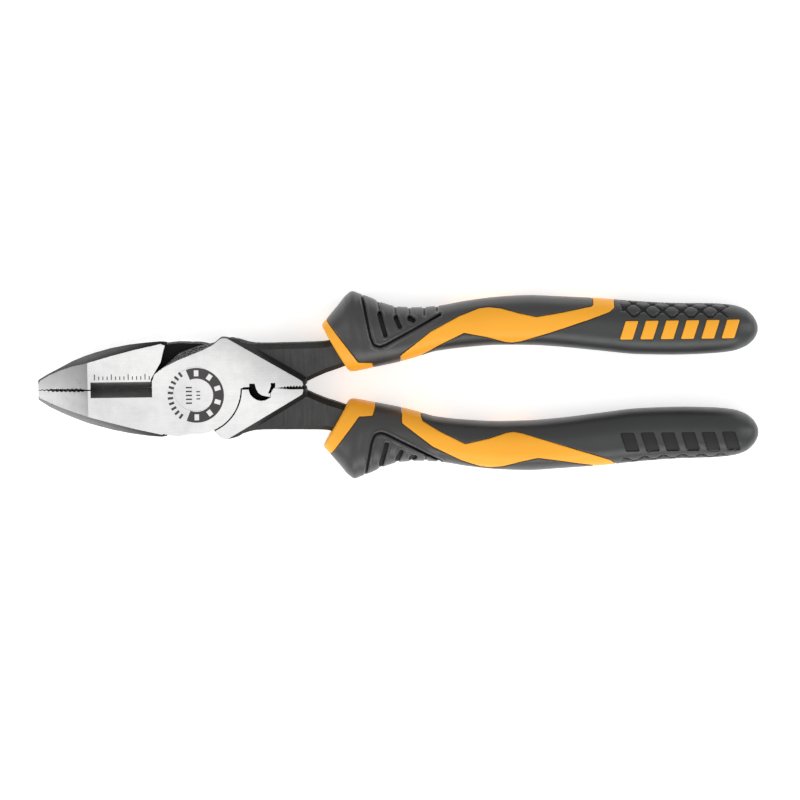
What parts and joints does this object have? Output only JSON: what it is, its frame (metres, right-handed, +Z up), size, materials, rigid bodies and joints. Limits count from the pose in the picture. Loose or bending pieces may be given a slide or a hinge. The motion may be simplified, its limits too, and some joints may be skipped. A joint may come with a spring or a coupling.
{
  "type": "lineman pliers",
  "caption": "Lineman pliers with lap-jointed forged halves, flat serrated nose, side cutter, rear crimping die and guarded two-tone moulded grips.",
  "frame": {"origin": "centre of the footprint on the surface that the closed pliers lie on", "axes": "+X along the tool from the nose to the handle ends, +Y across it towards the handle of the half whose lap is on top, +Z up, along the pivot"},
  "size_m": [0.24, 0.0628, 0.02],
  "materials": {
    "forged_steel": "ground and polished faces, dark oxide on the forged edges, recesses and tangs",
    "rivet_steel": "ground flush with the joint",
    "orange_plastic": "satin, fine moulded grain",
    "charcoal_rubber": "matt, fine moulded grain"
  },
  "bodies": {
    "upper_handle_half": {"upper_handle_forging": "forged_steel", "pivot_rivet": "rivet_steel", "upper_handle_grip_core": "orange_plastic", "upper_handle_guard_cover": "charcoal_rubber", "upper_handle_end_cover": "charcoal_rubber"},
    "lower_handle_half": {"lower_handle_forging": "forged_steel", "lower_handle_grip_core": "orange_plastic", "lower_handle_guard_cover": "charcoal_rubber", "lower_handle_end_cover": "charcoal_rubber"}
  },
  "joints": [
    {"name": "pliers_pivot", "type": "hinge", "parent": "upper_handle_half", "child": "lower_handle_half", "pos_m": [-0.0675, 0, 0.01], "axis": [0, 0, -1], "range_deg": [0, 30]}
  ]
}
